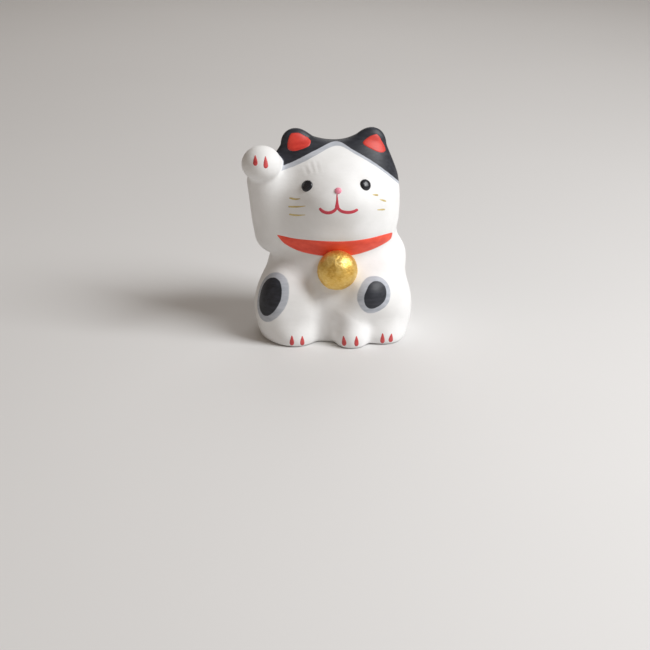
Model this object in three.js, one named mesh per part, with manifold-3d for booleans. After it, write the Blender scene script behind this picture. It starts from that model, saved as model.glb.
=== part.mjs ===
// A seated ceramic cat figurine with one raised paw, a collar band and a bell.
// Millimetres, +Z up. The cat faces -Y, and its own left side is +X.
import * as THREE from "three";
import { mergeVertices } from "three/addons/utils/BufferGeometryUtils.js";
import Module from "manifold-3d";

const wasm = await Module();
wasm.setup();
const { degToRad, lerp } = THREE.MathUtils;

// Clearances and walls
const gap = 0.3; // slip joint between two neighbouring pieces
const wall = 3; // thickness of the hollow shells
const ventDiameter = 12; // hole in the base that lets steam out in the kiln

// Torso: a pear with a flat base, wider than it is deep
const torsoBase = 20; // half width where it rests
const torsoBelly = 21.2; // half width at its widest
const torsoBellyHeight = 8;
const torsoNeck = 17.2; // half width under the head
const neckHeight = 31;
const torsoDepth = 0.86; // depth as a share of the width

// Head: a wide jaw under a lower, rounded crown
const headJaw = 18.9; // half width at the cheeks
const headJawRise = 5.5; // cheeks above the neck
const headHeight = 23.8;
const headDepth = 0.87; // depth as a share of the width
const headShift = [0.6, -0.7]; // centre of the head over the torso
const headTurn = degToRad(-3);

// Face: places are half widths from the middle of the face, heights above the neck
const eyeRadius = 1.5;
const eyeDepth = 0.8;
const eyePlaces = { left: [7.8, 15.3], right: [-8.5, 14.9] };
const noseRadius = 1;
const noseHeight = 14;

// Ears
const earHeight = 8.4; // from the middle of its root to the tip
const earHalfWidth = 6.3;
const earThickness = 0.5; // depth of an ear as a share of its width
const earInset = 8.3; // middle of an ear's root in from the cheek
const earSink = 3.9; // root below the top of the head
const earLean = 8; // degrees outwards
const earForward = 2; // in front of the middle of the head

// Collar and bell
const collarThickness = 0.9;
const collarMargin = 0.8; // below the rim of the neck
const collarDrop = 4.6; // height of the band at the front
const collarEnd = 2.5; // height of its blunt end
const collarReach = 8.8; // how far back its ends run from the front of the neck
const bellRadius = 5.8;
const bellDepth = 4.9;
const bellDrop = 9.1; // middle of the bell below the rim of the neck
const bellLift = 0.4; // middle of the bell in front of the chest

// Raised arm and paw, on the cat's right
const armRadius = 4.8;
const armShoulderRadius = 5.3;
const armShoulderDrop = 3.5; // shoulder below the rim of the neck
const armForward = 3;
const wristForward = 5.5;
const wristRise = 14.5; // wrist above the rim of the neck
const wristStandOff = 3.4; // middle of the wrist outside the head
const raisedPawRadii = [6, 6, 5.2];
const raisedPawRise = 4.8; // middle of the paw above the wrist
const raisedPawNod = 0.8; // middle of the paw in front of the wrist

// Lowered foreleg and paw, on the cat's left
const forelegRadius = 4.3;
const elbowRadius = 5.6;
const shoulderRadius = 6.6;
const shoulderHeight = 21.6;
const shoulderProud = 2.2; // how far the shoulder stands out of the side
const shoulderForward = 2;
const elbowHeight = 14;
const elbowOut = 4.6; // elbow to the side of the paw
const elbowSink = 3.4; // middle of the elbow behind the skin of the belly
const forelegEnd = 6; // end of the foreleg above the middle of the paw
const frontPawRadii = [4.8, 4.9, 5.2];
const frontPawPlace = 4.2;
const frontPawReach = 3.4; // front of the paw before the belly

// Haunches and hind feet
const soleSink = 0.4; // how far the middle of a sole sits above the ground, as a share of its radius
const haunchRadii = [9.4, 12, 13.6];
const haunchHeight = 8;
const haunchForward = 6;
const haunchProud = { left: 2.5, right: 1.7 };
const hindFootRadii = [5.8, 6, 4.8];
const hindFootPlaces = { left: 14, right: -11.8 };
const hindFootReach = { left: 4.9, right: 4.4 }; // front of a foot before the belly

// Tail
const tailRadii = [4.3, 3.8, 4.8];
const tailHeight = 6.5;
const tailProud = 0.3; // middle of the tail behind the back

const roundSteps = 32; // sides of the torso and head
const limbSteps = 18; // sides of the limbs
const trimSteps = 12; // sides of the eyes and the nose

const finishes = {
  white: { color: 0xf1f0ee, roughness: 0.82, metalness: 0 },
  black: { color: 0x1d1f23, roughness: 0.6, metalness: 0 },
  pink: { color: 0xe98a9a, roughness: 0.6, metalness: 0 },
  red: { color: 0xc8332b, roughness: 0.6, metalness: 0 },
  gold: { color: 0xc79a35, roughness: 0.35, metalness: 0.9 },
};

// ---- solids and their booleans ----

function toSolid(geometry) {
  geometry.deleteAttribute("normal");
  geometry.deleteAttribute("uv");
  const merged = mergeVertices(geometry, 1e-4);
  return new wasm.Manifold(
    new wasm.Mesh({
      numProp: 3,
      vertProperties: new Float32Array(merged.attributes.position.array),
      triVerts: new Uint32Array(merged.index.array),
    }),
  );
}

function toGeometry(solid) {
  const mesh = solid.getMesh();
  const geometry = new THREE.BufferGeometry();
  geometry.setAttribute("position", new THREE.BufferAttribute(mesh.vertProperties, 3));
  geometry.setIndex(new THREE.BufferAttribute(mesh.triVerts, 1));
  return geometry;
}

// ---- outlines of the two turned forms ----

function outlineOf(stations) {
  const points = stations.map(([r, z]) => new THREE.Vector2(r, z));
  return new THREE.SplineCurve(points).getPoints(2 * stations.length);
}

const torsoOutline = outlineOf([
  [torsoBase, 0],
  [torsoBase + 0.7 * (torsoBelly - torsoBase), 0.3 * torsoBellyHeight],
  [torsoBelly, torsoBellyHeight],
  [lerp(torsoBelly, torsoNeck, 0.42), lerp(torsoBellyHeight, neckHeight, 0.45)],
  [lerp(torsoBelly, torsoNeck, 0.88), lerp(torsoBellyHeight, neckHeight, 0.8)],
  [torsoNeck, neckHeight],
]);

const crownRise = headHeight - headJawRise;
const headFoot = Math.min(torsoNeck, headJaw); // half width where the head meets the neck
const crownFullness = 0.62; // under 1 is squarer than an ellipse
const crownFlatness = 1.12; // over 1 keeps the top flat
const headOutline = outlineOf([
  [headFoot, gap],
  [lerp(headFoot, headJaw, 0.85), 0.5 * headJawRise],
  [headJaw, headJawRise],
  ...[18, 36, 52, 66, 79].map((angle) => {
    const turn = degToRad(angle);
    return [
      headJaw * Math.cos(turn) ** crownFullness,
      headJawRise + crownRise * Math.sin(turn) ** crownFlatness,
    ];
  }),
]);
headOutline.push(new THREE.Vector2(0, headHeight));

// Half width of an outline at a height.
function halfWidth(outline, z) {
  const above = outline.findIndex((point) => point.y >= z);
  if (above <= 0) return outline[Math.max(above, 0)].x;
  const [low, high] = [outline[above - 1], outline[above]];
  return lerp(low.x, high.x, (z - low.y) / (high.y - low.y));
}

const torsoWide = (z) => halfWidth(torsoOutline, z);
const torsoDeep = (z) => torsoDepth * torsoWide(z);

// The outline moved outwards by grow, turned about Z and squeezed in depth.
function turned(outline, depth, grow) {
  const shift = grow / depth;
  const points = outline.map((point, i) => {
    const before = outline[Math.max(i - 1, 0)];
    const after = outline[Math.min(i + 1, outline.length - 1)];
    const along = after.clone().sub(before).normalize();
    const out = new THREE.Vector2(along.y, -along.x).multiplyScalar(shift);
    return new THREE.Vector2(Math.max(point.x + out.x, 0), point.y + out.y);
  });
  if (points.at(-1).x > 0) points.push(new THREE.Vector2(0, points.at(-1).y));
  points.unshift(new THREE.Vector2(0, points[0].y));
  const geometry = new THREE.LatheGeometry(points, roundSteps);
  geometry.rotateX(Math.PI / 2);
  geometry.scale(1, depth, 1);
  return geometry;
}

// ---- frames ----

// From the head's own frame (origin on the neck, face along -Y) to the figure's.
const headFrame = new THREE.Matrix4()
  .makeTranslation(headShift[0], headShift[1], neckHeight)
  .multiply(new THREE.Matrix4().makeRotationZ(headTurn));

// A point of the face, on the surface of the head.
function onFace(x, z) {
  const wide = halfWidth(headOutline, z);
  const y = -headDepth * Math.sqrt(Math.max(wide * wide - x * x, 0));
  return new THREE.Vector3(x, y, z).applyMatrix4(headFrame);
}

// ---- shapes; each takes how far its surface is moved outwards ----

function egg(centre, radii, grow, steps = limbSteps) {
  const geometry = new THREE.SphereGeometry(1, steps, Math.round(steps * 0.6));
  geometry.rotateX(Math.PI / 2);
  geometry.scale(radii[0] + grow, radii[1] + grow, radii[2] + grow);
  geometry.translate(centre.x, centre.y, centre.z);
  return toSolid(geometry);
}

// A round-ended limb from one ball to another.
function limb(from, to, fromRadius, toRadius, grow) {
  const axis = to.clone().sub(from);
  const length = axis.length();
  const slope = Math.asin((fromRadius - toRadius) / length);
  const profile = [];
  const arc = (height, radius, start, end) => {
    const steps = 4;
    for (let i = 0; i <= steps; i++) {
      const angle = lerp(start, end, i / steps);
      const out = (radius + grow) * Math.cos(angle);
      profile.push(new THREE.Vector2(Math.max(out, 0), height + (radius + grow) * Math.sin(angle)));
    }
  };
  arc(0, fromRadius, -Math.PI / 2, slope);
  arc(length, toRadius, slope, Math.PI / 2);
  profile[0].x = 0;
  profile.at(-1).x = 0;
  const geometry = new THREE.LatheGeometry(profile, limbSteps);
  const up = new THREE.Vector3(0, 1, 0);
  geometry.applyQuaternion(new THREE.Quaternion().setFromUnitVectors(up, axis.normalize()));
  geometry.translate(from.x, from.y, from.z);
  return toSolid(geometry);
}

function torsoShape(grow) {
  return toSolid(turned(torsoOutline, torsoDepth, grow));
}

function headShape(grow) {
  return toSolid(turned(headOutline, headDepth, grow).applyMatrix4(headFrame));
}

// The band lies on the neck: a crescent cut out of a thin skin round the torso.
function collarShape(grow) {
  const top = neckHeight - collarMargin;
  const half = torsoWide(top) + collarThickness + gap;
  const crescent = new THREE.Shape();
  crescent.moveTo(-half - grow, top + grow);
  crescent.lineTo(half + grow, top + grow);
  crescent.lineTo(half + grow, top - collarEnd - 2 * grow);
  crescent.bezierCurveTo(
    half * 0.5, top - 1.05 * collarDrop - 2 * grow,
    -half * 0.4, top - 1.25 * collarDrop - 2 * grow,
    -half - grow, top - 2 * grow,
  );
  const cutter = new THREE.ExtrudeGeometry(crescent, {
    depth: 2 * torsoBelly,
    bevelEnabled: false,
    curveSegments: 12,
  });
  cutter.rotateX(Math.PI / 2);
  cutter.translate(0, collarReach - torsoDeep(top) + grow, 0);
  const skin = torsoShape(gap + collarThickness + grow).intersect(toSolid(cutter));
  return grow > 0 ? skin : skin.subtract(torsoShape(gap));
}

function eyeShape(side, grow) {
  return egg(onFace(...eyePlaces[side]), [eyeRadius, eyeDepth, eyeRadius], grow, trimSteps);
}

function noseShape(grow) {
  return egg(onFace(0, noseHeight), [noseRadius, eyeDepth, noseRadius], grow, trimSteps);
}

function earShape(side, grow) {
  const profile = new THREE.SplineCurve([
    new THREE.Vector2(earHalfWidth + grow, -0.5 * earHeight),
    new THREE.Vector2(0.97 * earHalfWidth + grow, 0),
    new THREE.Vector2(0.77 * earHalfWidth + grow, 0.43 * earHeight),
    new THREE.Vector2(0.5 * earHalfWidth + grow, 0.77 * earHeight),
    new THREE.Vector2(0.22 * earHalfWidth, 0.96 * earHeight + grow),
  ]).getPoints(8);
  profile.unshift(new THREE.Vector2(0, -0.5 * earHeight));
  profile.push(new THREE.Vector2(0, earHeight + grow));
  const geometry = new THREE.LatheGeometry(profile, limbSteps);
  geometry.rotateX(Math.PI / 2);
  geometry.scale(1, earThickness, 1);
  geometry.rotateY(degToRad(side * earLean));
  geometry.translate(side * (headJaw - earInset), -earForward, headHeight - earSink);
  return toSolid(geometry.applyMatrix4(headFrame));
}

const bellCentre = new THREE.Vector3(
  0,
  -torsoDeep(neckHeight - bellDrop) - bellLift,
  neckHeight - bellDrop,
);

// The arm runs up the side of the head from the shoulder to the wrist.
const headLeft = (z) => headShift[0] - halfWidth(headOutline, z - neckHeight);
const armShoulder = new THREE.Vector3(
  -torsoWide(neckHeight - armShoulderDrop),
  -armForward,
  neckHeight - armShoulderDrop,
);
const wristHeight = neckHeight + wristRise;
const wrist = new THREE.Vector3(headLeft(wristHeight) - wristStandOff, -wristForward, wristHeight);
const raisedPawCentre = wrist.clone().add(new THREE.Vector3(0, -raisedPawNod, raisedPawRise));

// The foreleg comes down from the shoulder, over the elbow, to the paw in front of the belly.
const frontPawCentre = new THREE.Vector3(
  frontPawPlace,
  -torsoDeep(frontPawRadii[2]) - frontPawReach + frontPawRadii[1],
  soleSink * frontPawRadii[2],
);
const shoulder = new THREE.Vector3(
  torsoWide(shoulderHeight) - shoulderRadius + shoulderProud,
  -shoulderForward,
  shoulderHeight,
);
const elbow = new THREE.Vector3(frontPawPlace + elbowOut, -torsoDeep(elbowHeight) + elbowSink, elbowHeight);
const forelegFoot = frontPawCentre.clone().add(new THREE.Vector3(0, 1, forelegEnd));

function haunchCentre(side) {
  const x = torsoWide(haunchHeight) + haunchProud[side] - haunchRadii[0];
  return new THREE.Vector3(side === "left" ? x : -x, -haunchForward, haunchHeight);
}

function hindFootCentre(side) {
  const x = hindFootPlaces[side];
  const wide = torsoWide(hindFootRadii[2]);
  const belly = torsoDepth * Math.sqrt(wide * wide - x * x);
  return new THREE.Vector3(x, -belly - hindFootReach[side] + hindFootRadii[1], soleSink * hindFootRadii[2]);
}

const tailCentre = new THREE.Vector3(0, torsoDeep(tailHeight) + tailProud, tailHeight);

// ---- the figure: each piece gives way to the ones before it ----

const pieces = [
  ["left_eye", "black", (grow) => eyeShape("left", grow)],
  ["right_eye", "black", (grow) => eyeShape("right", grow)],
  ["nose", "pink", noseShape],
  ["torso", "white", torsoShape],
  ["head", "white", headShape],
  ["collar", "red", collarShape],
  ["bell", "gold", (grow) => egg(bellCentre, [bellRadius, bellDepth, bellRadius], grow)],
  ["left_hind_foot", "white", (grow) => egg(hindFootCentre("left"), hindFootRadii, grow)],
  ["right_hind_foot", "white", (grow) => egg(hindFootCentre("right"), hindFootRadii, grow)],
  ["front_paw", "white", (grow) => egg(frontPawCentre, frontPawRadii, grow)],
  ["raised_paw", "white", (grow) => egg(raisedPawCentre, raisedPawRadii, grow)],
  ["left_haunch", "white", (grow) => egg(haunchCentre("left"), haunchRadii, grow)],
  ["right_haunch", "white", (grow) => egg(haunchCentre("right"), haunchRadii, grow)],
  [
    "foreleg",
    "white",
    (grow) =>
      limb(shoulder, elbow, shoulderRadius, elbowRadius, grow).add(
        limb(elbow, forelegFoot, elbowRadius, forelegRadius, grow),
      ),
  ],
  ["raised_arm", "white", (grow) => limb(armShoulder, wrist, armShoulderRadius, armRadius, grow)],
  ["left_ear", "black", (grow) => earShape(1, grow)],
  ["right_ear", "black", (grow) => earShape(-1, grow)],
  ["tail", "white", (grow) => egg(tailCentre, tailRadii, grow)],
];

// The insides of the two shells, and the vent through the base.
function hollows() {
  const torsoRoom = turned(torsoOutline, torsoDepth, -wall);
  const vent = new THREE.CylinderGeometry(ventDiameter / 2, ventDiameter / 2, 4 * wall, roundSteps);
  vent.rotateX(Math.PI / 2);
  const aboveBase = new THREE.BoxGeometry(4 * torsoBelly, 4 * torsoBelly, 2 * neckHeight);
  aboveBase.translate(0, 0, neckHeight + wall);
  const throat = Math.min(torsoNeck, headJaw) - wall; // half width of the opening at the neck
  const neckRoom = new THREE.CylinderGeometry(throat, throat, 4 * wall, roundSteps);
  neckRoom.rotateX(Math.PI / 2);
  neckRoom.scale(1, torsoDepth, 1);
  neckRoom.translate(0, 0, neckHeight);
  return {
    torso: toSolid(torsoRoom).intersect(toSolid(aboveBase)).add(toSolid(vent)).add(toSolid(neckRoom)),
    head: headShape(-wall).add(toSolid(neckRoom)),
  };
}

const ground = new THREE.BoxGeometry(200, 200, 100);
ground.translate(0, 0, -50);
const below = toSolid(ground);
const rooms = hollows();

const figure = new THREE.Group();
const placed = [];
for (const [name, finish, shape] of pieces) {
  let solid = shape(0).subtract(below);
  for (const earlier of placed) solid = solid.subtract(earlier(gap));
  if (rooms[name]) solid = solid.subtract(rooms[name]);
  const geometry = toGeometry(solid);
  geometry.computeBoundingBox();
  const middle = geometry.boundingBox.getCenter(new THREE.Vector3());
  geometry.translate(-middle.x, -middle.y, -middle.z);
  const mesh = new THREE.Mesh(geometry, new THREE.MeshStandardMaterial(finishes[finish]));
  mesh.name = name;
  mesh.position.copy(middle);
  figure.add(mesh);
  placed.push(shape);
}

// The origin is the middle of the bottom of the figure's own box.
const box = new THREE.Box3().setFromObject(figure);
const centre = box.getCenter(new THREE.Vector3());
figure.position.set(-centre.x, -centre.y, -box.min.z);

const cat = new THREE.Group();
cat.add(figure);

export default cat;
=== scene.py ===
# A seated ceramic cat with one raised paw: a single clay skin cut into the lumps it is pressed from,
# with painted strokes laid on it, glossy eyes and a gilded bell.
import math
import bpy
import bmesh
import numpy as np
from mathutils import Vector, Matrix, noise


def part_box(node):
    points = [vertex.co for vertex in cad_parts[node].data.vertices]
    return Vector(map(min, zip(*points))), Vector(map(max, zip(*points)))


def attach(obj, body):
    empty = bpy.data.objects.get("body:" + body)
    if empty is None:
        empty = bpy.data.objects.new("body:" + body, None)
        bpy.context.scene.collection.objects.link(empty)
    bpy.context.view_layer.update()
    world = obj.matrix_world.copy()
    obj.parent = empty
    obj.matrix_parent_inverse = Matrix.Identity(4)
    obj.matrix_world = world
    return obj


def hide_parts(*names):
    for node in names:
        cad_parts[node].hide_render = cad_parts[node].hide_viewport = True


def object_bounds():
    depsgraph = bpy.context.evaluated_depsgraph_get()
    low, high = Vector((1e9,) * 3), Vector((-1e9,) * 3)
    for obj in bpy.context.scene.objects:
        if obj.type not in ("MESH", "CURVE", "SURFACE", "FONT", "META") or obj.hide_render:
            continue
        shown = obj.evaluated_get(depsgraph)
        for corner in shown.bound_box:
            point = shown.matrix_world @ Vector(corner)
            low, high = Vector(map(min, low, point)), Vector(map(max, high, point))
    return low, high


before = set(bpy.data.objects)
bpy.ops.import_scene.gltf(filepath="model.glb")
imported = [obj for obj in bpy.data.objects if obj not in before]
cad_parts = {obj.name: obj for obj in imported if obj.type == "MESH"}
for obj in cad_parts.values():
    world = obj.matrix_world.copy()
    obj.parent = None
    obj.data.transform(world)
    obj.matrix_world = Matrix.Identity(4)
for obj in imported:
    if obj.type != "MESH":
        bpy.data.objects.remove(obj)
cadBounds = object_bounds()
print("frame loaded:", len(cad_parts), "packed pieces")

# All shapes are worked out in millimetres from the foot of the torso's upright axis.
torsoCorners = [np.array(corner) * 1000 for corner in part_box("torso")]
axisFoot = (torsoCorners[0] + torsoCorners[1]) / 2 * np.array([1, 1, 0])


def cornersOf(node):
    return [np.array(corner) * 1000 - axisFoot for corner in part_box(node)]


def toFrame(points):
    return (np.asarray(points) + axisFoot) / 1000


# Middle of a lump whose far sides touch its packed box: side is -1, 0 or 1 on each axis.
def nestle(node, radii, side, shift=(0, 0, 0)):
    low, high = cornersOf(node)
    places = [
        {-1: low[i] + radii[i], 0: (low[i] + high[i]) / 2, 1: high[i] - radii[i]}[side[i]]
        for i in range(3)
    ]
    return np.array(places) + np.array(shift)


# The clay is a block of samples. Each holds its distance from the surface, negative inside the clay.
clay = {
    "cell": 0.36, "margin": 2.0,  # spacing of the samples, and room round the figure
    "wall": 3.0, "ventRadius": 6.0,
    "baseRounding": 1.0, "roomRounding": 1.5, "lipRounding": 0.4, "ventRounding": 0.5,
    "waver": 0.06,  # unevenness of a hand-pressed surface
}
low = np.array(cadBounds[0]) * 1000 - axisFoot - clay["margin"]
high = np.array(cadBounds[1]) * 1000 - axisFoot + clay["margin"]
steps = np.ceil((high - low) / clay["cell"]).astype(int)
lines = [(low[i] + clay["cell"] * np.arange(steps[i])).astype(np.float32) for i in range(3)]
gx, gy, gz = lines[0][:, None, None], lines[1][None, :, None], lines[2][None, None, :]


# A boxy or round lump with its own height above and below its middle
def plump(middle, half, up, down, boxiness=2.0, fullness=2.0, turn=0.0):
    c, s = math.cos(turn), math.sin(turn)
    dx, dy, dz = gx - middle[0], gy - middle[1], gz - middle[2]
    across, deep = np.abs(c * dx + s * dy) / half[0], np.abs(c * dy - s * dx) / half[1]
    flat = (across ** boxiness + deep ** boxiness) ** (fullness / boxiness)
    tall = np.abs(dz / np.where(dz > 0, up, down)) ** fullness
    share = np.maximum(flat + tall, 1e-6) ** (1 / fullness)
    return np.sqrt(dx * dx + dy * dy + dz * dz) * (1 - 1 / share)


def egg(middle, radii):
    return plump(middle, radii[:2], radii[2], radii[2])


# A rounded roll of clay from one end to the other, flattened from front to back
def roll(start, end, startRadius, endRadius, flat=1.0):
    axis = np.array(end) - np.array(start)
    px, py, pz = gx - start[0], gy - start[1], gz - start[2]
    along = np.clip((px * axis[0] + py * axis[1] + pz * axis[2]) / axis.dot(axis), 0, 1)
    px, py, pz = px - along * axis[0], (py - along * axis[1]) / flat, pz - along * axis[2]
    radius = startRadius + along * (endRadius - startRadius)
    return (np.sqrt(px * px + py * py + pz * pz) - radius) * min(1, 0.5 + flat / 2)


# Two lumps smoothed into each other
def meld(a, b, soft):
    touch = np.maximum(soft - np.abs(a - b), 0) / soft
    return np.minimum(a, b) - touch ** 2 * soft / 4


def carve(a, b, soft):
    return -meld(-a, -b, soft)


# Torso and head make the hollow core.
torso = {
    "middle": (0.4, 0.8, 8), "up": 36, "down": 40, "fullness": 1.85, "slim": (0.955, 0.95),
    "neckSoft": 2.4, "roomSoft": 3,
}
lumps = {}
torsoLow, torsoHigh = cornersOf("torso")
torsoHalf = (torsoHigh - torsoLow)[:2] / 2 * np.array(torso["slim"])
lumps["torso"] = plump(torso["middle"], torsoHalf, torso["up"], torso["down"], 2, torso["fullness"])

head = {
    "jawHeight": 5.5, "up": 18.3, "down": 16, "boxiness": 2.15, "fullness": 2.35,
    "slim": 0.985, "turn": math.radians(-3),
}
headLow, headHigh = cornersOf("head")
neckHeight = torsoHigh[2]
headMiddle = np.array([*(headLow + headHigh)[:2] / 2, neckHeight + head["jawHeight"]])
headHalf = (headHigh - headLow)[:2] / 2 * head["slim"]
headShape = [head[key] for key in ("up", "down", "boxiness", "fullness", "turn")]
lumps["head"] = plump(headMiddle, headHalf, *headShape)
core = meld(lumps["torso"], lumps["head"], torso["roomSoft"])
hollow = core + clay["wall"]

muzzle = {"height": 10.4, "sink": 2.8, "radii": (7.5, 4.2, 4.6), "soft": 5}
muzzleMiddle = (0, headLow[1] + muzzle["sink"], neckHeight + muzzle["height"])
skin = meld(lumps["head"], egg(muzzleMiddle, muzzle["radii"]), muzzle["soft"])

ear = {
    "left_ear": {"root": 7.9, "tip": 10.5, "radii": (6.3, 3.4)},
    "right_ear": {"root": -10.2, "tip": -11.5, "radii": (7.7, 3.6)},
    "sink": 5.2, "lift": 0.3, "forward": 2.2, "lean": 0.4, "flat": 0.52, "soft": 7.8,
}
for name in ("left_ear", "right_ear"):
    own = ear[name]
    root = (own["root"] + headMiddle[0], -ear["forward"], headHigh[2] - ear["sink"])
    tipHeight = cornersOf(name)[1][2] - own["radii"][1] + ear["lift"]
    tip = (own["tip"] + headMiddle[0] / 2, ear["lean"] - ear["forward"], tipHeight)
    lumps[name] = roll(root, tip, *own["radii"], ear["flat"])
    skin = meld(skin, lumps[name], ear["soft"])

raisedArm = {
    "shoulder": (-17.4, -3, 28.9), "wrist": (-20.3, -5.0, 44.8), "radii": (5.1, 4.4), "soft": 7.5,
}
lumps["raised_arm"] = roll(raisedArm["shoulder"], raisedArm["wrist"], *raisedArm["radii"])
skin = meld(skin, lumps["raised_arm"], raisedArm["soft"])

raisedPaw = {"radii": (5.6, 5.9, 4.95), "soft": 1.5, "shift": (-0.75, -1.1, 0.2)}
pawMiddle = nestle("raised_paw", raisedPaw["radii"], (-1, -1, 1), raisedPaw["shift"])
lumps["raised_paw"] = egg(pawMiddle, raisedPaw["radii"])
skin = meld(skin, lumps["raised_paw"], raisedPaw["soft"])
skin = meld(skin, lumps["torso"], torso["neckSoft"])

haunch = {
    "left_haunch": {"radii": (9.4, 12, 13.6), "boxiness": 2.2, "shift": (-0.7, -0.2, 0), "soft": 4.4},
    "right_haunch": {"radii": (9.9, 12.4, 13.8), "boxiness": 2.6, "shift": (0, -0.9, 0), "soft": 2.0},
    "height": 8,
}
for side, name in ((1, "left_haunch"), (-1, "right_haunch")):
    own = haunch[name]
    middle = nestle(name, own["radii"], (side, -1, 0), own["shift"])
    middle[2] = haunch["height"]
    tall = own["radii"][2]
    lumps[name] = plump(middle, own["radii"][:2], tall, tall, own["boxiness"])
    skin = meld(skin, lumps[name], own["soft"])

foreleg = {
    "shoulder": (14.1, -2, 21.9), "elbow": (8.8, -14.5, 14), "wrist": (4.2, -15.9, 8),
    "radii": (7.2, 5.6, 4.3), "elbowSoft": 2, "soft": 4.0,
}
upper = roll(foreleg["shoulder"], foreleg["elbow"], *foreleg["radii"][:2])
lower = roll(foreleg["elbow"], foreleg["wrist"], *foreleg["radii"][1:])
lumps["foreleg"] = meld(upper, lower, foreleg["elbowSoft"])
skin = meld(skin, lumps["foreleg"], foreleg["soft"])

frontPaw = {"radii": (4.8, 4.9, 5.2), "soft": 2.6, "shift": (0, -0.6, 0)}
pawMiddle = nestle("front_paw", frontPaw["radii"], (0, -1, 1), frontPaw["shift"])
lumps["front_paw"] = egg(pawMiddle, frontPaw["radii"])
skin = meld(skin, lumps["front_paw"], frontPaw["soft"])

hindFoot = {"radii": (5.8, 6, 4.8), "soft": 3.2, "shift": {1: (-0.3, -0.9, 0), -1: (0, -0.5, 0)}}
for side, name in ((1, "left_hind_foot"), (-1, "right_hind_foot")):
    footMiddle = nestle(name, hindFoot["radii"], (side, -1, 1), hindFoot["shift"][side])
    lumps[name] = egg(footMiddle, hindFoot["radii"])
    skin = meld(skin, lumps[name], hindFoot["soft"])

tail = {"radii": (4.3, 3.8, 4.8), "soft": 2.2}
lumps["tail"] = egg(nestle("tail", tail["radii"], (0, 1, 0)), tail["radii"])
skin = meld(skin, lumps["tail"], tail["soft"])

# The skin wavers a little, stands flat on its base, and is hollow and open below.
waver = np.sin(gx * 0.52 + 1.1) * np.sin(gy * 0.61 + gz * 0.17) + np.sin(gz * 0.47 + gx * 0.23 + 0.6)
skin = skin + clay["waver"] * waver
skin = carve(skin, -gz, clay["baseRounding"])
vent = np.maximum(np.sqrt(gx * gx + gy * gy) - clay["ventRadius"], gz - 2 * clay["wall"])
room = carve(hollow, clay["wall"] - gz, clay["roomRounding"])
shell = carve(skin, -room, clay["lipRounding"])
clayField = carve(shell, -vent, clay["ventRounding"]).astype(np.float32)
print("clay modelled on", clayField.shape, "samples")


cubeCorners = [(i & 1, i >> 1 & 1, i >> 2 & 1) for i in range(8)]


# The block's sample at one corner of every cell between the samples
def atCorner(block, corner):
    return block[tuple(slice(v, v + n - 1) for v, n in zip(corner, block.shape))]


# Value of a block of samples between its samples
def between(block, points):
    at = (np.asarray(points, float) - low) / clay["cell"]
    at = np.clip(at, 0, np.array(block.shape[:3]) - 1.001)
    base = at.astype(int)
    share = at - base
    total = 0
    for corner in cubeCorners:
        weight = np.prod(np.where(corner, share, 1 - share), axis=-1)
        spot = base + corner
        sample = block[spot[..., 0], spot[..., 1], spot[..., 2]]
        total = total + (weight[..., None] if sample.ndim > weight.ndim else weight) * sample
    return total


# Marks are laid on the clay from in front and a little above, along lines from the painter's place.
# Each is given as (across, up) where its line meets the upright plane through the axis.
painter = np.array([-41.5, -409.6, 155.7])
laying = {"step": 0.25, "reach": 40}  # how finely and how deep a line is followed


def lay(marks):
    marks = np.asarray(marks, float)
    aim = np.stack([marks[..., 0], np.zeros(marks.shape[:-1]), marks[..., 1]], -1) - painter
    aim /= np.linalg.norm(aim, axis=-1, keepdims=True)
    start = painter + aim * ((low[1] + 1 - painter[1]) / aim[..., 1:2])
    reach = np.arange(0, laying["reach"], laying["step"])
    depth = between(clayField, start[..., None, :] + reach[:, None] * aim[..., None, :])
    hit = np.maximum(np.argmax(depth < 0, axis=-1), 1)
    before = np.take_along_axis(depth, hit[..., None] - 1, -1)[..., 0]
    after = np.take_along_axis(depth, hit[..., None], -1)[..., 0]
    stop = reach[hit - 1] + laying["step"] * before / (before - after)
    return start + stop[..., None] * aim


# A smooth line through a few marks, in even steps
def flow(marks, count, perSpan=16):
    marks = np.asarray(marks, float)
    ends = np.vstack([2 * marks[0] - marks[1], marks, 2 * marks[-1] - marks[-2]])
    line = []
    for i in range(1, len(ends) - 2):
        a, b, c, d = ends[i - 1:i + 3]
        for t in np.linspace(0, 1, perSpan, endpoint=False):
            bend = (2 * a - 5 * b + 4 * c - d) * t ** 2 + (3 * b - a - 3 * c + d) * t ** 3
            line.append(0.5 * (2 * b + (c - a) * t + bend))
    line = np.array(line + [ends[-2]])
    run = np.concatenate([[0], np.cumsum(np.linalg.norm(np.diff(line, axis=0), axis=1))])
    even = np.linspace(0, run[-1], count)
    return np.stack([np.interp(even, run, line[:, i]) for i in range(line.shape[1])], -1)


# Three short scratches of the brush over the right eye, each with a low rim
scratches = {
    "lines": [[(-8.0, 47.4), (-7.4, 45.8)], [(-6.6, 48.9), (-5.7, 46.4)], [(-4.9, 48.9), (-4.3, 46.3)]],
    "depth": 0.07, "width": 0.38, "rim": 0.4, "rimAway": 0.9, "rimWidth": 0.4,
}
for line in scratches["lines"]:
    away = roll(*lay(line), 0, 0)
    groove = np.exp(-(away / scratches["width"]) ** 2).astype(np.float32)
    rim = np.exp(-((away - scratches["rimAway"]) / scratches["rimWidth"]) ** 2).astype(np.float32)
    clayField += scratches["depth"] * groove
    clayField -= scratches["rim"] * scratches["depth"] * rim

# Every sample inside the clay belongs to the lump that it lies deepest in.
lumpNames = list(lumps)
depths = np.stack([lumps[name].astype(np.float32) for name in lumpNames])
owner = np.argmin(depths, axis=0).astype(np.int8)
owner[clayField >= 0] = -1
for face in (0, -1):
    owner[face, :, :] = owner[:, face, :] = owner[:, :, face] = -1

slope = np.stack(np.gradient(clayField, clay["cell"]), axis=-1).astype(np.float32)


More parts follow.
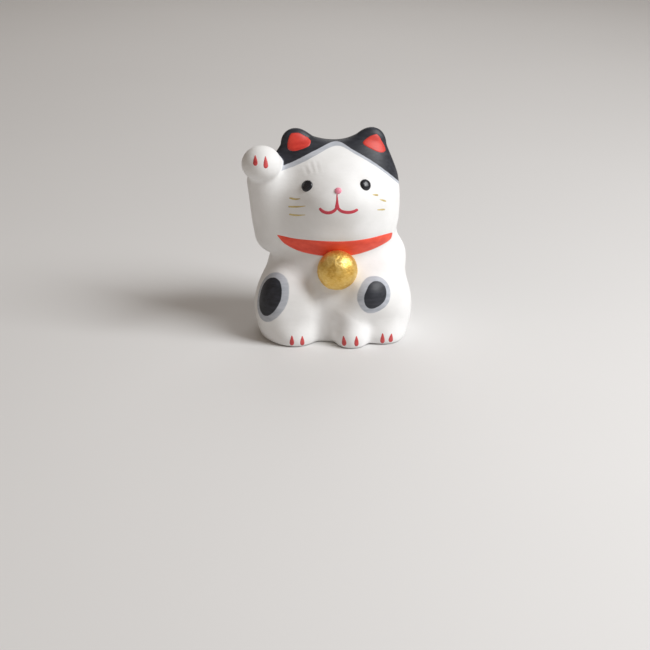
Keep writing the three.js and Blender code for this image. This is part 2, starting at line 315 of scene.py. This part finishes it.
def outwards(points):
    direction = between(slope, points)
    return direction / np.maximum(np.linalg.norm(direction, axis=-1, keepdims=True), 1e-6)


# Points brought onto the skin by short pushes along the slope
def ontoSkin(points, rounds, longest=0.3, leastSlope=0.05):
    for _ in range(rounds):
        direction = between(slope, points)
        push = between(clayField, points) / np.maximum((direction ** 2).sum(-1), leastSlope)
        points = points - np.clip(push, -longest, longest)[..., None] * direction
    return points


# One shared net of vertices over every face between two different owners
def netOf(owner, field):
    first = atCorner(owner, cubeCorners[0])
    mixed = np.zeros(first.shape, bool)
    for corner in cubeCorners[1:]:
        mixed |= atCorner(owner, corner) != first
    count = int(mixed.sum())
    index = np.full(first.shape, -1, np.int64)
    index[mixed] = np.arange(count)
    owners = {corner: atCorner(owner, corner)[mixed] for corner in cubeCorners}
    fields = {corner: atCorner(field, corner)[mixed] for corner in cubeCorners}
    total, hits = np.zeros((count, 3)), np.zeros(count)
    for axis in range(3):
        for start in cubeCorners:
            if start[axis]:
                continue
            end = tuple(v + (i == axis) for i, v in enumerate(start))
            differ = owners[start] != owners[end]
            atAir = (owners[start] < 0) != (owners[end] < 0)
            run = fields[start] - fields[end]
            cut = np.clip(fields[start] / np.where(run == 0, 1, run), 0, 1)
            point = np.tile(np.array(start, float), (count, 1))
            point[:, axis] = np.where(atAir, cut, 0.5)
            total[differ] += point[differ]
            hits[differ] += 1
    points = low + clay["cell"] * (np.argwhere(mixed) + total / hits[:, None])
    airy = np.zeros(count, bool)
    for corner in cubeCorners:
        airy |= owners[corner] < 0
    quads, sides = [], []
    for axis in range(3):
        nextAxis, lastAxis = (axis + 1) % 3, (axis + 2) % 3
        near = np.take(owner, range(owner.shape[axis] - 1), axis)
        far = np.take(owner, range(1, owner.shape[axis]), axis)
        at = np.argwhere(near != far)
        ring = []
        for stepNext, stepLast in ((-1, -1), (0, -1), (0, 0), (-1, 0)):
            cell = at.copy()
            cell[:, nextAxis] += stepNext
            cell[:, lastAxis] += stepLast
            ring.append(index[tuple(cell.T)])
        quads.append(np.stack(ring, -1))
        sides.append(np.stack([near[tuple(at.T)], far[tuple(at.T)]], -1))
    return points, airy, np.concatenate(quads), np.concatenate(sides)


# No two parts of a piece may meet at only an edge
def settle(owner, rounds=4):
    for _ in range(rounds):
        changed = 0
        for a, b in ((0, 1), (1, 2), (0, 2)):
            block = np.moveaxis(owner, (a, b), (0, 1))
            p, q, r, s = block[:-1, :-1], block[1:, :-1], block[:-1, 1:], block[1:, 1:]
            for x, y, v, w in ((p, s, q, r), (q, r, p, s)):
                split = (x == y) & (x != v) & (x != w) & (x >= 0)
                useLast = split & (v < 0) & (w >= 0)
                useFirst = split & ~useLast
                v[useFirst] = x[useFirst]
                w[useLast] = x[useLast]
                changed += int(split.sum())
        if not changed:
            break
    return owner


# A lump may not run out over another in a layer only one sample thick
def peel(owner, field, rounds=4):
    for _ in range(rounds):
        cells = np.all([atCorner(owner, corner) >= 0 for corner in cubeCorners], axis=0)
        changed = 0
        for axis in range(3):
            deep = np.moveaxis(cells, axis, 0)
            deep = deep[:, :-1, :-1] | deep[:, 1:, :-1] | deep[:, :-1, 1:] | deep[:, 1:, 1:]
            block = np.moveaxis(owner, axis, 0)[:, 1:-1, 1:-1]
            inside = np.moveaxis(field, axis, 0)[:, 1:-1, 1:-1]
            near, far = block[:-1], block[1:]
            thin = ~deep & (near != far) & (near >= 0) & (far >= 0)
            nearOut = thin & (inside[:-1] > inside[1:])
            farOut = thin & ~nearOut
            near[nearOut] = far[nearOut]
            far[farOut] = near[farOut]
            changed += int(thin.sum())
        if not changed:
            break
    return owner


owner = settle(peel(settle(owner), clayField))
points, airy, quads, sides = netOf(owner, clayField)
edges = np.concatenate([quads[:, [i, (i + 1) % 4]] for i in range(4)])
edges = edges[airy[edges].all(axis=1)]
neighbours = np.bincount(edges.ravel(), minlength=len(points))
smoothing = {"rounds": 3, "pull": 0.5, "bury": 0.12}
for _ in range(smoothing["rounds"]):
    middle = np.stack([
        np.bincount(edges[:, 0], points[edges[:, 1], i], len(points))
        + np.bincount(edges[:, 1], points[edges[:, 0], i], len(points))
        for i in range(3)
    ], -1) / np.maximum(neighbours, 1)[:, None]
    pulled = points + smoothing["pull"] * (middle - points)
    points = np.where(neighbours[:, None] > 0, pulled, points)
    points[airy] = ontoSkin(points[airy], 2)

# A wall between two lumps starts each face at a corner inside the clay, so that it folds inwards.
firstCorner = np.argmin(airy[quads], axis=1)
quads = np.take_along_axis(quads, (firstCorner[:, None] + np.arange(4)) % 4, 1)
buried = np.maximum(between(clayField, points[~airy]) + smoothing["bury"], 0)
points[~airy] -= buried[:, None] * outwards(points[~airy])
normals = outwards(points)
print("skin net:", len(points), "points,", len(quads), "faces")


# Paint: how far, in millimetres, each point of the skin lies inside the black (ink) and inside the
# grey round it (wash). The cap's border is a line of marks in front and a low curve behind.
cap = {
    "border": [
        (-22, 44.6), (-14.6, 48.0), (-10.9, 49.6), (-5.1, 52.6), (0.7, 55.15),
        (5.8, 52.5), (12, 48.7), (17.9, 44.2), (24, 39),
    ],
    "steepness": 0.88, "lowest": 30, "turnsBack": (3, 12),
    "edgeAt": (-14, -8, 0, 4, 16), "edge": (1.15, 1.5, 1.2, 0.8, 0.7),
    "nape": (43.0, 0.012), "overArm": 0.9, "armWash": 0.2,
}
spots = {
    "right_haunch": {"mark": (-18.8, 8.7), "radii": (4.1, 5.6), "tilt": 3, "edge": (1.6, 1.6)},
    "left_haunch": {"mark": (13.6, 8.4), "radii": (3.2, 4.1), "tilt": -34, "edge": (1.6, 1.3)},
}
bareDepth, spotReach = -5, 6  # paint depth of bare clay, and how far a spot reaches through the clay


def marksOf(points):
    share = -painter[1] / (points[:, 1] - painter[1])
    across = painter[0] + (points[:, 0] - painter[0]) * share
    return across, painter[2] + (points[:, 2] - painter[2]) * share


def easeIn(x, start, end):
    t = np.clip((x - start) / (end - start), 0, 1)
    return t * t * (3 - 2 * t)


def capDepths(points):
    across, up = marksOf(points)
    border = flow(cap["border"], 200)
    front = (up - np.interp(across, border[:, 0], border[:, 1])) * cap["steepness"]
    back = points[:, 2] - cap["nape"][0] - cap["nape"][1] * points[:, 0] ** 2
    toBack = easeIn(points[:, 1], *cap["turnsBack"])
    ink = front + (back - front) * toBack
    return ink, ink + np.interp(across, cap["edgeAt"], cap["edge"])


def spotDepths(points, spot):
    middle = lay([spot["mark"]])[0]
    out = outwards(middle)
    side = np.cross([0, 0, 1], out)
    side /= np.linalg.norm(side)
    up = np.cross(out, side)
    c, s = math.cos(math.radians(spot["tilt"])), math.sin(math.radians(spot["tilt"]))
    away = points - middle
    u, v, w = away @ side, away @ up, away @ out
    u, v = c * u + s * v, c * v - s * u
    angle = np.arctan2(v, u)
    bump = 0.06 * np.sin(3 * angle + 0.7) + 0.04 * np.sin(5 * angle + 2.1)
    depths = []
    for grow in ((0, 0), spot["edge"]):
        a, b = spot["radii"][0] + grow[0], spot["radii"][1] + grow[1]
        share = np.sqrt((u / a) ** 2 + (v / b) ** 2)
        inside = (1 - share) * np.sqrt(a * b) + bump
        depths.append(np.where(np.abs(w) < spotReach, inside, bareDepth))
    return depths


ink, wash = capDepths(points)
onHead = points[:, 2] > cap["lowest"]
ink, wash = np.where(onHead, ink, bareDepth), np.where(onHead, wash, bareDepth)
toLimb = np.minimum(between(lumps["raised_paw"], points), between(lumps["raised_arm"], points))
toHead = np.minimum(between(lumps["head"], points), between(lumps["right_ear"], points))
beside = (toLimb - toHead) / 2 + cap["overArm"]
ink, wash = np.minimum(ink, beside), np.minimum(wash, beside + cap["armWash"])
for spot in spots.values():
    spotInk, spotWash = spotDepths(points, spot)
    ink, wash = np.maximum(ink, spotInk), np.maximum(wash, spotWash)
print("paint laid out")


# Materials
def startMaterial(name, metallic=0.0, specular=0.5):
    material = bpy.data.materials.new(name)
    material.use_nodes = True
    shader = material.node_tree.nodes["Principled BSDF"]
    shader.inputs["Metallic"].default_value = metallic
    shader.inputs["Specular IOR Level"].default_value = specular
    return material, material.node_tree.nodes, material.node_tree.links.new, shader


def addNoise(nodes, link, scale, detail=3.0, stretch=(1, 1, 1)):
    place = nodes.new("ShaderNodeTexCoord")
    size = nodes.new("ShaderNodeMapping")
    size.inputs["Scale"].default_value = stretch
    grain = nodes.new("ShaderNodeTexNoise")
    grain.inputs["Scale"].default_value = scale
    grain.inputs["Detail"].default_value = detail
    link(place.outputs["Object"], size.inputs["Vector"])
    link(size.outputs["Vector"], grain.inputs["Vector"])
    return grain.outputs["Fac"]


def addRamp(nodes, link, factor, *stops):
    ramp = nodes.new("ShaderNodeValToRGB")
    while len(ramp.color_ramp.elements) < len(stops):
        ramp.color_ramp.elements.new(0.5)
    for element, (place, colour) in zip(ramp.color_ramp.elements, stops):
        element.position = place
        element.color = (*colour, 1)
    link(factor, ramp.inputs["Fac"])
    return ramp.outputs["Color"]


def addTones(nodes, link, factor, dark, light):
    return addRamp(nodes, link, factor, (0.3, dark), (0.7, light))


def addSpan(nodes, link, value, fromLow, fromHigh, toLow=0.0, toHigh=1.0, smooth=False):
    span = nodes.new("ShaderNodeMapRange")
    span.interpolation_type = "SMOOTHSTEP" if smooth else "LINEAR"
    limits = {"From Min": fromLow, "From Max": fromHigh, "To Min": toLow, "To Max": toHigh}
    for socket, number in limits.items():
        span.inputs[socket].default_value = number
    link(value, span.inputs["Value"])
    return span.outputs["Result"]


def addMix(nodes, link, factor, a, b):
    mix = nodes.new("ShaderNodeMix")
    mix.data_type = "RGBA"
    link(factor, mix.inputs["Factor"])
    link(a, mix.inputs[6])
    link(b, mix.inputs[7])
    return mix.outputs[2]


def addSum(nodes, link, a, b, weight):
    total = nodes.new("ShaderNodeMath")
    total.operation = "MULTIPLY_ADD"
    link(b, total.inputs[0])
    total.inputs[1].default_value = weight
    link(a, total.inputs[2])
    return total.outputs["Value"]


def addBump(nodes, link, shader, height, distance, strength):
    bump = nodes.new("ShaderNodeBump")
    bump.inputs["Strength"].default_value = strength
    bump.inputs["Distance"].default_value = distance
    link(height, bump.inputs["Height"])
    link(bump.outputs["Normal"], shader.inputs["Normal"])


slip = {
    "white": ((0.80, 0.80, 0.79), (0.87, 0.87, 0.87)),
    "black": ((0.013, 0.015, 0.020), (0.033, 0.036, 0.048)),
    "grey": ((0.40, 0.43, 0.48), (0.53, 0.55, 0.60)),
    "edge": {"ink": 0.07, "wash": 0.16}, "wobble": 0.16, "roughWhite": 0.68, "roughBlack": 0.46,
    "cloud": 130, "brush": 700, "stretch": (0.35, 1.0, 1.6), "ragged": 900, "grain": 1500,
    "grainRough": 0.06, "grainBump": 0.35, "relief": (0.00006, 0.8), "specular": 0.42,
}


def makeSlip():
    material, nodes, link, shader = startMaterial("brushedSlip", specular=slip["specular"])
    cloud = addNoise(nodes, link, slip["cloud"])
    grain = addNoise(nodes, link, slip["grain"])
    brush = addNoise(nodes, link, slip["brush"], 2, slip["stretch"])
    tones = [addTones(nodes, link, source, *slip[key])
             for key, source in (("white", cloud), ("grey", brush), ("black", brush))]
    masks = []
    for name in ("wash", "ink"):
        depth = nodes.new("ShaderNodeAttribute")
        depth.attribute_name = name
        ragged = addNoise(nodes, link, slip["ragged"])
        ragged = addSum(nodes, link, depth.outputs["Fac"], ragged, slip["wobble"])
        shift = slip["wobble"] / 2
        edge = slip["edge"][name]
        masks.append(addSpan(nodes, link, ragged, shift - edge, shift + edge, smooth=True))
    colour = addMix(nodes, link, masks[0], tones[0], tones[1])
    link(addMix(nodes, link, masks[1], colour, tones[2]), shader.inputs["Base Color"])
    rough = addSpan(nodes, link, masks[1], 0, 1, slip["roughWhite"], slip["roughBlack"])
    link(addSum(nodes, link, rough, grain, slip["grainRough"]), shader.inputs["Roughness"])
    addBump(nodes, link, shader, addSum(nodes, link, brush, grain, slip["grainBump"]), *slip["relief"])
    return material


brushed = {"scale": 650, "stretch": (0.5, 1.0, 1.4), "roughPlay": 0.06, "relief": (0.00005, 0.6)}


def makePaint(name, dark, light, roughness, metallic=0.0):
    material, nodes, link, shader = startMaterial(name, metallic)
    brush = addNoise(nodes, link, brushed["scale"], 3, brushed["stretch"])
    link(addTones(nodes, link, brush, dark, light), shader.inputs["Base Color"])
    play = brushed["roughPlay"]
    rough = addSpan(nodes, link, brush, 0, 1, roughness - play, roughness + play)
    link(rough, shader.inputs["Roughness"])
    addBump(nodes, link, shader, brush, *brushed["relief"])
    return material


# The leaf's darker orange-brown tones are partly its own brown spots and partly a painted orange
# reflection, scattered at random over the bell by noise.
goldLeaf = {
    "tones": (
        (0.2, (0.58, 0.30, 0.05)), (0.42, (0.78, 0.50, 0.12)),
        (0.6, (0.86, 0.60, 0.19)), (0.8, (0.95, 0.76, 0.36)),
    ),
    "rough": (0.40, 0.58), "metallic": 0.85,
    "cloud": 260, "crackle": 1500, "stretch": (1, 0.7, 1.5), "relief": (0.00018, 0.7),
}


def makeGoldLeaf():
    material, nodes, link, shader = startMaterial("rubbedGoldAndPaintedReflection", goldLeaf["metallic"])
    cloud = addNoise(nodes, link, goldLeaf["cloud"], 4)
    crackle = addNoise(nodes, link, goldLeaf["crackle"], 5, goldLeaf["stretch"])
    both = addSpan(nodes, link, addSum(nodes, link, cloud, crackle, 0.6), 0.3, 1.3)
    link(addRamp(nodes, link, both, *goldLeaf["tones"]), shader.inputs["Base Color"])
    link(addSpan(nodes, link, crackle, 0.2, 0.8, *goldLeaf["rough"]), shader.inputs["Roughness"])
    addBump(nodes, link, shader, crackle, *goldLeaf["relief"])
    return material


# Dark tone, light tone and roughness of each colour; the whiskers are slightly metallic
paint = {
    "red": ((0.56, 0.03, 0.02), (0.72, 0.055, 0.036), 0.5),
    # The band's red is more orange than the linings' red, which is its own colour, and its tones are also
    # raised as painted light: the collar lies in the head's shade and is made brighter to look lit.
    "band": ((0.80, 0.06, 0.028), (0.94, 0.105, 0.052), 0.5),
    "mouth": ((0.50, 0.035, 0.06), (0.66, 0.06, 0.09), 0.5),
    "claw": ((0.50, 0.045, 0.05), (0.70, 0.10, 0.10), 0.5),
    "whisker": ((0.44, 0.31, 0.08), (0.72, 0.60, 0.28), 0.45, 0.2),
    "eye": ((0.008, 0.008, 0.011), (0.016, 0.017, 0.022), 0.26),
    "nose": ((0.78, 0.22, 0.32), (0.88, 0.33, 0.42), 0.4),
}
slipMaterial = makeSlip()
redMaterial = makePaint("redPaint", *paint["red"])
paintedLightBandMaterial = makePaint("collarRedWithPaintedLight", *paint["band"])
rosyMaterial = makePaint("mouthRed", *paint["mouth"])
clawMaterial = makePaint("clawRed", *paint["claw"])
whiskerMaterial = makePaint("whiskerGold", *paint["whisker"])
eyeMaterial = makePaint("glossyBlack", *paint["eye"])
noseMaterial = makePaint("nosePink", *paint["nose"])
goldMaterial = makeGoldLeaf()
print("materials made")


# Meshes
def newPiece(name, vertices, faces, material, node=None):
    mesh = bpy.data.meshes.new(name)
    mesh.from_pydata(np.asarray(vertices).tolist(), [], faces)
    mesh.materials.append(material)
    mesh.polygons.foreach_set("use_smooth", [True] * len(mesh.polygons))
    piece = bpy.data.objects.new(name, mesh)
    bpy.context.scene.collection.objects.link(piece)
    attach(piece, "root")
    if node:
        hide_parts(node)
    return piece


def pressLump(name):
    own = lumpNames.index(name)
    turned = quads[sides[:, 1] == own][:, [0, 3, 2, 1]]
    used, faces = np.unique(np.concatenate([quads[sides[:, 0] == own], turned]), return_inverse=True)
    faces = faces.reshape(-1, 4).tolist()
    piece = newPiece(name + "_clay", toFrame(points[used]), faces, slipMaterial, name)
    for mark, depth in (("ink", ink), ("wash", wash)):
        layer = piece.data.attributes.new(mark, "FLOAT", "POINT")
        layer.data.foreach_set("value", depth[used].astype(np.float32))
    piece.data.normals_split_custom_set_from_vertices(normals[used].tolist())


for name in lumpNames:
    pressLump(name)
print("clay pieces made:", len(lumpNames))


# A closed film of paint between two lines on the skin. Its foot is buried in the clay, and it is
# crowned across and thins out at both ends.
filmEdge = {"bury": 0.12, "sink": 0.02, "taper": 12}


def film(first, last, thick, columns=9):
    rows = len(first)
    share = np.linspace(0, 1, columns)
    base = lay(first[:, None] * (1 - share)[:, None] + last[:, None] * share[:, None])
    out = outwards(base)
    along = np.linspace(0, 1, rows)
    taper = np.minimum(1, filmEdge["taper"] * np.minimum(along, 1 - along))
    crown = np.sqrt(1 - (2 * share - 1) ** 2)[None] * taper[:, None]
    over = base + out * (thick * crown - filmEdge["sink"])[..., None]
    under = base - out * filmEdge["bury"]
    vertices = np.concatenate([over.reshape(-1, 3), under.reshape(-1, 3)])
    count = rows * columns
    index = np.arange(count).reshape(rows, columns)
    top = np.stack([index[:-1, :-1], index[:-1, 1:], index[1:, 1:], index[1:, :-1]], -1).reshape(-1, 4)
    rim = np.array([*index[0], *index[1:, -1], *index[-1, -2::-1], *index[-2:0:-1, 0]])
    after = np.roll(rim, -1)
    wall = np.stack([after, rim, rim + count, after + count], -1)
    return vertices, np.concatenate([top, top[:, ::-1] + count, wall])


# A stroke along a line, as wide as the brush is pressed, with round ends
def brushStroke(marks, widths, thick, count=40, finest=0.05, tip=0.02):
    line = flow(marks, count)
    run = np.gradient(line, axis=0)
    run /= np.linalg.norm(run, axis=1, keepdims=True)
    side = np.stack([run[:, 1], -run[:, 0]], -1)
    along = np.linspace(0, 1, count)
    half = np.interp(along, np.linspace(0, 1, len(widths)), widths) / 2
    length = np.linalg.norm(np.diff(line, axis=0), axis=1).sum()
    fade = np.clip(np.minimum(along, 1 - along) * length / np.maximum(half, finest), 0, 1)
    half = np.maximum(half * np.sqrt(fade * (2 - fade)), tip)[:, None]
    return film(line + side * half, line - side * half, thick)


def paintPiece(name, films, material, node=None):
    vertices, faces, start = [], [], 0
    for filmVertices, filmFaces in films:
        vertices.append(filmVertices)
        faces.append(filmFaces + start)
        start += len(filmVertices)
    faces = np.concatenate(faces).tolist()
    piece = newPiece(name, toFrame(np.concatenate(vertices)), faces, material, node)
    shell = bmesh.new()
    shell.from_mesh(piece.data)
    bmesh.ops.recalc_face_normals(shell, faces=shell.faces)
    shell.to_mesh(piece.data)
    shell.free()


mouth = {
    "philtrum": [(1.22, 39.6), (1.28, 37.8), (1.32, 35.2)], "philtrumWidths": (0.4, 0.55, 0.95, 1.7),
    "right": [(1.5, 35.9), (0.41, 34.5), (-1.18, 33.95), (-2.79, 34.4), (-3.9, 35.5)],
    "left": [(1.2, 35.9), (2.45, 34.5), (4.5, 34.0), (6.24, 34.3), (7.5, 35.0)],
    "widths": (0.9, 1.0, 1.05, 1.0, 0.85), "thick": 0.09,
}
films = [brushStroke(mouth["philtrum"], mouth["philtrumWidths"], mouth["thick"])]
films += [brushStroke(mouth[side], mouth["widths"], mouth["thick"]) for side in ("right", "left")]
paintPiece("mouth_strokes", films, rosyMaterial)

whiskers = {
    "right": [
        [(-12.67, 38.6), (-10.9, 38.2), (-9.26, 38.3)],
        [(-13.0, 36.0), (-10.3, 35.9), (-7.7, 36.1)],
        [(-12.8, 33.7), (-10.3, 33.35), (-7.7, 33.45)],
    ],
    "left": [[(13.3, 39.1), (11.5, 39.3)], [(15.65, 37.2), (13.6, 37.9)], [(15.4, 34.8), (12.95, 34.7)]],
    "widths": (0.5, 0.65, 0.5, 0.18), "thick": 0.05, "steps": 24,
}
for side in ("right", "left"):
    brush = [whiskers[key] for key in ("widths", "thick", "steps")]
    films = [brushStroke(line, *brush) for line in whiskers[side]]
    paintPiece(side + "_whiskers", films, whiskerMaterial)

claws = {
    "raised_paw": [[(-22.3, 48.1), (-22.35, 51.3)], [(-19.3, 47.3), (-19.45, 51.0)]],
    "right_hind_foot": [[(-11.5, -7.15), (-11.5, -3.9)], [(-8.36, -7.2), (-8.4, -4.1)]],
    "front_paw": [[(4.33, -7.6), (3.9, -4.3)], [(7.96, -7.8), (7.88, -4.4)]],
    "left_hind_foot": [[(15.77, -7.05), (15.74, -3.7)], [(18.19, -6.7), (18.46, -3.9)]],
    "widths": (1.1, 1.45, 1.25, 0.75, 0.2), "thick": 0.1, "steps": 24,
}
for paw in ("raised_paw", "right_hind_foot", "front_paw", "left_hind_foot"):
    brush = [claws[key] for key in ("widths", "thick", "steps")]
    films = [brushStroke(line, *brush) for line in claws[paw]]
    paintPiece(paw + "_claws", films, clawMaterial)

linings = {
    "right_ear": {
        "upper": [(-12.1, 57.6), (-9.6, 57.7), (-7.7, 56.8), (-6.5, 55.4), (-6.9, 53.9)],
        "lower": [
            (-12.2, 57.5), (-12.8, 56.4), (-13.3, 54.3), (-13.1, 52.8),
            (-11.5, 52.2), (-8.9, 52.9), (-7.0, 53.8),
        ],
    },
    "left_ear": {
        "upper": [(12.3, 57.2), (13.5, 56.0), (14.7, 53.8), (15.0, 52.3)],
        "lower": [
            (12.2, 57.2), (10.4, 56.6), (8.7, 55.4), (8.2, 54.5),
            (9.4, 53.5), (12.2, 52.1), (14.0, 51.7), (14.9, 52.2),
        ],
    },
    "thick": 0.12, "steps": 30,
}
for earName in ("right_ear", "left_ear"):
    outline = [flow(linings[earName][side], linings["steps"]) for side in ("upper", "lower")]
    paintPiece(earName + "_lining", [film(*outline, linings["thick"])], redMaterial)

collar = {
    "top": [(-16.2, 27.6), (-9.4, 26.15), (1.45, 25.3), (9.66, 25.9), (17.84, 27.9)],
    "bottom": [
        (-16.2, 27.5), (-13.75, 24.7), (-9.35, 22.35), (-4, 21.05), (1.5, 20.5),
        (7.1, 21.1), (12.7, 22.95), (17.0, 25.5), (17.8, 27.8),
    ],
    "thick": 0.25, "steps": 90, "columns": 15,
}
outline = [flow(collar[side], collar["steps"]) for side in ("top", "bottom")]
band = film(*outline, collar["thick"], collar["columns"])
paintPiece("collar_band", [band], paintedLightBandMaterial, "collar")
print("strokes painted")


def ballOf(subdivisions):
    ball = bmesh.new()
    bmesh.ops.create_icosphere(ball, subdivisions=subdivisions, radius=1)
    vertices = np.array([v.co[:] for v in ball.verts])
    faces = [[v.index for v in face.verts] for face in ball.faces]
    ball.free()
    return vertices, faces


# A flattened drop of glaze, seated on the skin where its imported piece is
drop = {"subdivisions": 4, "uneven": 0.02, "rounds": 12}


def roundDrop(name, node, own, shift, material):
    boxLow, boxHigh = cornersOf(node)
    radius = own["swell"] * (boxHigh[2] - boxLow[2]) / 2
    middle = ontoSkin(((boxLow + boxHigh) / 2 + shift)[None], drop["rounds"])[0]
    turn = Vector(outwards(middle)).to_track_quat("Z", "Y").to_matrix()
    vertices, faces = ballOf(drop["subdivisions"])
    oval = 1 + drop["uneven"] * np.sin(2 * np.arctan2(vertices[:, 1], vertices[:, 0]) + 0.8)
    vertices = vertices * [radius, radius, own["depth"]] * oval[:, None]
    vertices = vertices @ np.array(turn).T + middle
    newPiece(name, toFrame(vertices), faces, material, node)


eye = {"swell": 1.12, "depth": 0.75, "shift": {"left": (-0.45, 0, -0.5), "right": (0.3, 0, -0.45)}}
for side in ("left", "right"):
    roundDrop(side + "_eye_drop", side + "_eye", eye, eye["shift"][side], eyeMaterial)

nose = {"swell": 0.95, "depth": 0.6, "shift": (0, 0, -1.0)}
roundDrop("nose_drop", "nose", nose, nose["shift"], noseMaterial)

# The bell is a ball of clay with broad dents and fine creases under the leaf.
bell = {"subdivisions": 6, "deep": 4.9, "dent": 0.05, "dentScale": 1.7, "crease": 0.05, "creaseScale": 5.5}


def formBell():
    boxLow, boxHigh = cornersOf("bell")
    radius = (boxHigh[2] - boxLow[2]) / 2
    middle = (boxLow + boxHigh) / 2
    middle[1] = boxLow[1] + bell["deep"]
    vertices, faces = ballOf(bell["subdivisions"])
    for i, place in enumerate(vertices):
        dent = noise.noise(Vector(place * bell["dentScale"]) + Vector((3, 1, 2)))
        crease = abs(noise.noise(Vector(place * bell["creaseScale"]) + Vector((7, 4, 1))))
        vertices[i] *= 1 + bell["dent"] * dent / 2 - bell["crease"] * crease / 2
    vertices = vertices * [radius, bell["deep"], radius] + middle
    newPiece("gilded_bell", toFrame(vertices), faces, goldMaterial, "bell")


formBell()
print("eyes, nose and bell made")

# Floor, lights and camera
floor = {
    "half": 3.0, "tones": ((0.70, 0.695, 0.69), (0.73, 0.725, 0.72)), "cloud": 3, "roughness": 0.75,
}
floorMesh = bpy.data.meshes.new("paleFloor")
corners = [(x * floor["half"], y * floor["half"], 0) for x, y in ((-1, -1), (1, -1), (1, 1), (-1, 1))]
floorMesh.from_pydata(corners, [], [(0, 1, 2, 3)])
floorPiece = bpy.data.objects.new("paleFloor", floorMesh)
bpy.context.scene.collection.objects.link(floorPiece)
floorMaterial, nodes, link, shader = startMaterial("paleCard")
shader.inputs["Roughness"].default_value = floor["roughness"]
cloud = addNoise(nodes, link, floor["cloud"])
link(addTones(nodes, link, cloud, *floor["tones"]), shader.inputs["Base Color"])
floorMesh.materials.append(floorMaterial)

lights = {
    "key": {"place": (0.43, -0.23, 0.47), "size": 0.34, "watts": 4.6, "colour": (0.97, 0.985, 1.0)},
    "fill": {"place": (-0.5, -0.35, 0.25), "size": 0.6, "watts": 0.15, "colour": (1.0, 0.82, 0.64)},
    "back": {"place": (0.1, 0.6, 0.5), "size": 0.5, "watts": 1.1, "colour": (1.0, 1.0, 1.0)},
    "sky": {"strength": 0.2, "colour": (1.0, 0.84, 0.70, 1)},
    "aim": (0, 0, 0.028),
}
aim = Vector(lights["aim"])
for name in ("key", "fill", "back"):
    setting = lights[name]
    lamp = bpy.data.lights.new(name, "AREA")
    lamp.size, lamp.energy, lamp.color = setting["size"], setting["watts"], setting["colour"]
    holder = bpy.data.objects.new(name, lamp)
    holder.location = setting["place"]
    holder.rotation_euler = (aim - holder.location).to_track_quat("-Z", "Y").to_euler()
    bpy.context.scene.collection.objects.link(holder)
world = bpy.data.worlds.new("softRoom")
world.use_nodes = True
sky = world.node_tree.nodes["Background"].inputs
sky["Color"].default_value = lights["sky"]["colour"]
sky["Strength"].default_value = lights["sky"]["strength"]
bpy.context.scene.world = world

# The camera stands at the painter's place.
camera = {
    "lens": 81.86, "sensor": 36.0, "reach": (0.01, 20),
    "heading": (0.09053, 0.93032, -0.35539), "tilt": 0.93,
}
lens = bpy.data.cameras.new("camera")
lens.lens, lens.sensor_width = camera["lens"], camera["sensor"]
lens.clip_start, lens.clip_end = camera["reach"]
holder = bpy.data.objects.new("camera", lens)
heading = Vector(camera["heading"]).to_track_quat("-Z", "Y").to_matrix()
turned = heading @ Matrix.Rotation(math.radians(camera["tilt"]), 3, "Z")
holder.matrix_world = Matrix.Translation(Vector(toFrame(painter))) @ turned.to_4x4()
bpy.context.scene.collection.objects.link(holder)
bpy.context.scene.camera = holder
bpy.context.scene.view_settings.view_transform = "Standard"

bpy.context.view_layer.update()
